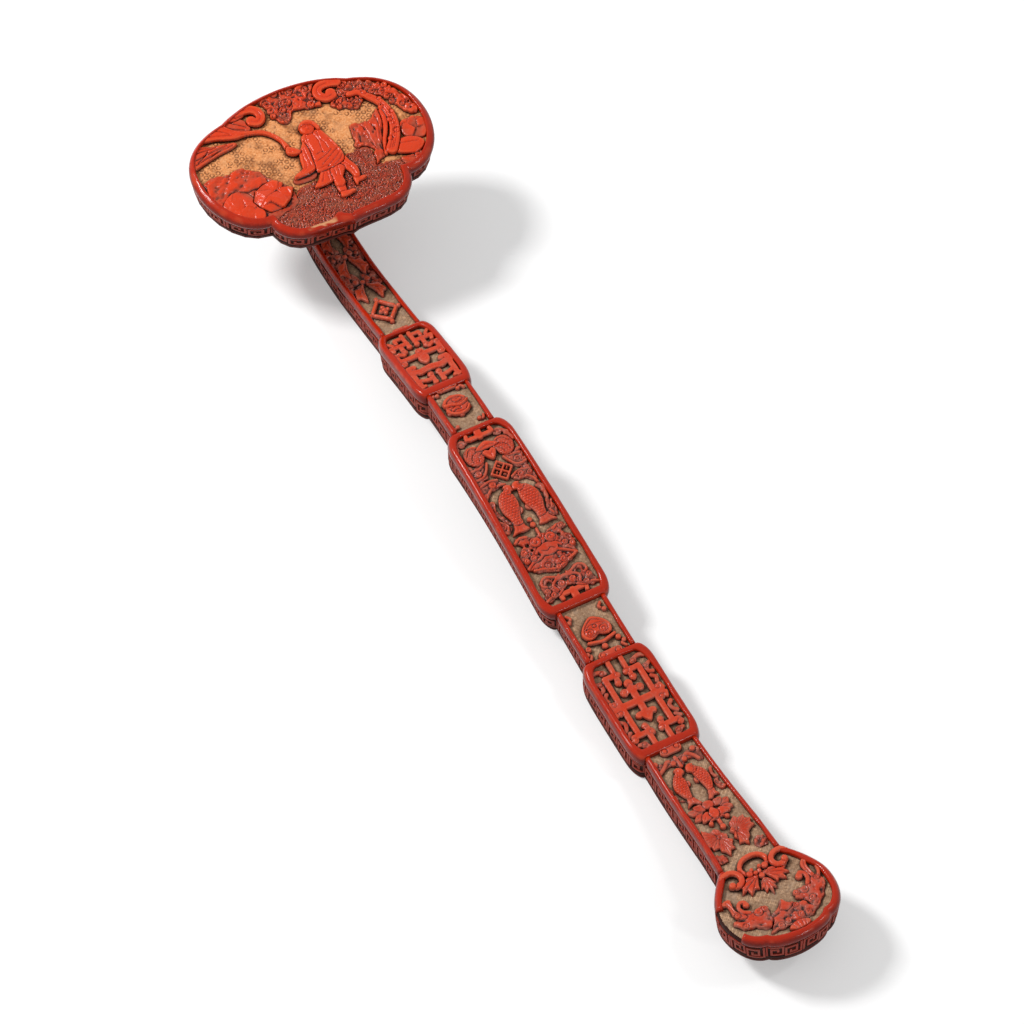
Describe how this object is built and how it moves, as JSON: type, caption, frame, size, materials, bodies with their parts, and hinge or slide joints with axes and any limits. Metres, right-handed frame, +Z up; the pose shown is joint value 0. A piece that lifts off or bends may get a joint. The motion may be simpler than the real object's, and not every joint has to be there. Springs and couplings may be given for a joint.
{
  "type": "ruyi scepter",
  "caption": "Long S-curved ceremonial scepter of carved red lacquer over wood, with a cloud-shaped head on a hooked neck, framed relief panels along the shaft and a trefoil terminal.",
  "frame": {"origin": "on the floor under the middle of the object's length, on its plane of symmetry", "axes": "+Z up, +Y along the shaft from the terminal to the head, +X to the right"},
  "size_m": [0.0978, 0.4111, 0.0562],
  "materials": {
    "wood_core": "bare",
    "red_lacquer": "polished lacquer, worn at the edges",
    "dark_red_lacquer": "carved lacquer with dark recesses",
    "buff_ground": "dusty",
    "ochre_ground": "satin"
  },
  "bodies": {
    "root": {"arch_scroll": "red_lacquer", "back_lacquer": "dark_red_lacquer", "bank": "red_lacquer", "bat": "red_lacquer", "beast_left": "red_lacquer", "beast_right": "red_lacquer", "boulder": "red_lacquer", "bracket_far": "red_lacquer", "bracket_near": "red_lacquer", "centre_frame": "red_lacquer", "cliff_branch": "red_lacquer", "crag": "red_lacquer", "far_frame": "red_lacquer", "far_fret": "red_lacquer", "far_strip_rail_left": "red_lacquer", "far_strip_rail_right": "red_lacquer", "figure_head": "red_lacquer", "figure_robe": "red_lacquer", "fish_left": "red_lacquer", "fish_right": "red_lacquer", "fret_square": "red_lacquer", "front_rocks": "red_lacquer", "head_back": "dark_red_lacquer", "head_band": "dark_red_lacquer", "head_core": "wood_core", "head_ground": "ochre_ground", "head_rim": "red_lacquer", "knot_flower": "red_lacquer", "leaf_pendant": "red_lacquer", "lotus": "red_lacquer", "lotus_leaves": "red_lacquer", "near_frame": "red_lacquer", "near_fret": "red_lacquer", "near_strip_rail_left": "red_lacquer", "near_strip_rail_right": "red_lacquer", "neck_leaves": "red_lacquer", "neck_lozenge": "red_lacquer", "neck_rail_left": "red_lacquer", "neck_rail_right": "red_lacquer", "pine_canopy_back": "red_lacquer", "pine_canopy_right": "red_lacquer", "pine_trunk": "red_lacquer", "right_rocks": "red_lacquer", "ruyi_chime": "red_lacquer", "scroll_left": "red_lacquer", "scroll_right": "red_lacquer", "shaft_core": "wood_core", "shaft_ground": "buff_ground", "side_band_left": "dark_red_lacquer", "side_band_right": "dark_red_lacquer", "tail_fish_left": "red_lacquer", "tail_fish_right": "red_lacquer", "tail_rail_left": "red_lacquer", "tail_rail_right": "red_lacquer", "terminal_band": "dark_red_lacquer", "terminal_ground": "buff_ground", "terminal_rim": "red_lacquer", "wave_cloud": "red_lacquer", "wave_curls": "red_lacquer"}
  },
  "joints": []
}
